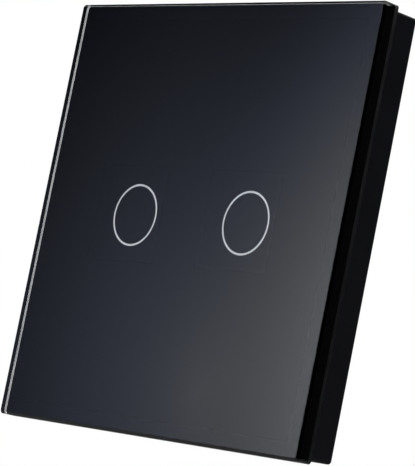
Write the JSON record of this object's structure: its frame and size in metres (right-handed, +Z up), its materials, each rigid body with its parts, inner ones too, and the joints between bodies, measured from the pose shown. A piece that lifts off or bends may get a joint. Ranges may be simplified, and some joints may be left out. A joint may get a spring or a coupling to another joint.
{
  "type": "touch light switch",
  "caption": "Flush wall touch switch: a bevelled black glass panel with lit touch rings on a clip-on frame, over a mounting plate with a relay module for the wall box.",
  "frame": {"origin": "middle of the mounting plate's back face, on the wall plane, halfway between the wall screws", "axes": "+Z up, +X to the right as seen from the room, +Y into the wall: the glass faces -Y"},
  "size_m": [0.08, 0.0256, 0.08],
  "materials": {
    "clear_glass": "polished, with ground bevels",
    "black_print": "screen-printed black enamel",
    "ring_print": "translucent pale print",
    "tape": "black foam tape",
    "black_plastic": "fine satin moulding",
    "housing_plastic": "spark-eroded satin moulding",
    "terminal_plastic": "glass-filled grey moulding",
    "relay_plastic": "satin moulding",
    "bobbin_plastic": "natural moulding",
    "spring_steel": "nickel-plated spring wire and strip",
    "plated_steel": "bright zinc plate",
    "soft_iron": "nickel-plated iron",
    "brass": "tin-flashed brass",
    "copper_winding": "enamelled copper wire",
    "board": "solder resist on glass-epoxy board",
    "chip": "moulded epoxy",
    "lamp": "phosphor under clear resin",
    "milky_guide": "milky acrylic",
    "ferrite": "ground ferrite",
    "yellow_tape": "polyester tape",
    "can_sleeve": "shrink sleeve on an aluminium can",
    "yellow_case": "plastic box with resin fill",
    "blue_dip": "dipped epoxy"
  },
  "bodies": {
    "base": {"retaining_clips": "spring_steel", "clip_rivets": "plated_steel", "mounting_plate": "plated_steel", "sensor_cover": "black_plastic", "touch_board": "board", "light_guides": "milky_guide", "indicator_lamps": "lamp", "touch_springs": "spring_steel", "touch_controller": "chip", "pin_header": "chip", "header_pins": "brass", "power_board": "board", "rear_housing": "housing_plastic", "housing_screws": "plated_steel", "terminal_block": "terminal_plastic", "contact_bars": "brass", "relay_bases": "relay_plastic", "relay_covers": "relay_plastic", "relay_yokes": "soft_iron", "relay_bobbins": "bobbin_plastic", "relay_windings": "copper_winding", "relay_fixed_contacts": "brass", "transformer_core": "ferrite", "transformer_winding": "yellow_tape", "smoothing_capacitors": "can_sleeve", "suppression_capacitor": "yellow_case", "varistor": "blue_dip", "fuse": "chip", "rectifier": "chip"},
    "panel": {"glass_panel": "clear_glass", "back_print": "black_print", "touch_rings": "ring_print", "bonding_tape": "tape", "panel_frame": "black_plastic"},
    "screw_1": {"terminal_screw_1": "plated_steel"},
    "clamp_1": {"clamp_cage_1": "plated_steel"},
    "screw_2": {"terminal_screw_2": "plated_steel"},
    "clamp_2": {"clamp_cage_2": "plated_steel"},
    "screw_3": {"terminal_screw_3": "plated_steel"},
    "clamp_3": {"clamp_cage_3": "plated_steel"},
    "screw_4": {"terminal_screw_4": "plated_steel"},
    "clamp_4": {"clamp_cage_4": "plated_steel"},
    "armature_1": {"relay_armature_1": "soft_iron"},
    "armature_2": {"relay_armature_2": "soft_iron"}
  },
  "joints": [
    {"name": "panel_pull_off", "type": "slide", "parent": "base", "child": "panel", "axis": [0, -1, 0], "range_m": [0, 0.008], "deforming": ["retaining_clips"]},
    {"name": "terminal_screw_1_turn", "type": "hinge", "parent": "base", "child": "screw_1", "pos_m": [-0.0105, 0, -0.0193], "axis": [0, -1, 0], "range_deg": [0, 2480]},
    {"name": "clamp_1_rise", "type": "slide", "parent": "base", "child": "clamp_1", "axis": [0, 1, 0], "range_m": [0, 0.0031]},
    {"name": "terminal_screw_2_turn", "type": "hinge", "parent": "base", "child": "screw_2", "pos_m": [-0.0035, 0, -0.0193], "axis": [0, -1, 0], "range_deg": [0, 2480]},
    {"name": "clamp_2_rise", "type": "slide", "parent": "base", "child": "clamp_2", "axis": [0, 1, 0], "range_m": [0, 0.0031]},
    {"name": "terminal_screw_3_turn", "type": "hinge", "parent": "base", "child": "screw_3", "pos_m": [0.0035, 0, -0.0193], "axis": [0, -1, 0], "range_deg": [0, 2480]},
    {"name": "clamp_3_rise", "type": "slide", "parent": "base", "child": "clamp_3", "axis": [0, 1, 0], "range_m": [0, 0.0031]},
    {"name": "terminal_screw_4_turn", "type": "hinge", "parent": "base", "child": "screw_4", "pos_m": [0.0105, 0, -0.0193], "axis": [0, -1, 0], "range_deg": [0, 2480]},
    {"name": "clamp_4_rise", "type": "slide", "parent": "base", "child": "clamp_4", "axis": [0, 1, 0], "range_m": [0, 0.0031]},
    {"name": "relay_armature_1_swing", "type": "hinge", "parent": "base", "child": "armature_1", "pos_m": [-0.0154, 0.01215, -0.00305], "axis": [1, 0, 0], "range_deg": [0, 1.55], "stiffness_Nm_per_rad": 0.02, "springref_deg": -2.86},
    {"name": "relay_armature_2_swing", "type": "hinge", "parent": "base", "child": "armature_2", "pos_m": [-0.0082, 0.01215, -0.00305], "axis": [1, 0, 0], "range_deg": [0, 1.55], "stiffness_Nm_per_rad": 0.02, "springref_deg": -2.86}
  ],
  "couplings": [
    {"joint": "terminal_screw_1_turn", "follows": "clamp_1_rise", "rad_per_m": 13963},
    {"joint": "terminal_screw_2_turn", "follows": "clamp_2_rise", "rad_per_m": 13963},
    {"joint": "terminal_screw_3_turn", "follows": "clamp_3_rise", "rad_per_m": 13963},
    {"joint": "terminal_screw_4_turn", "follows": "clamp_4_rise", "rad_per_m": 13963}
  ]
}
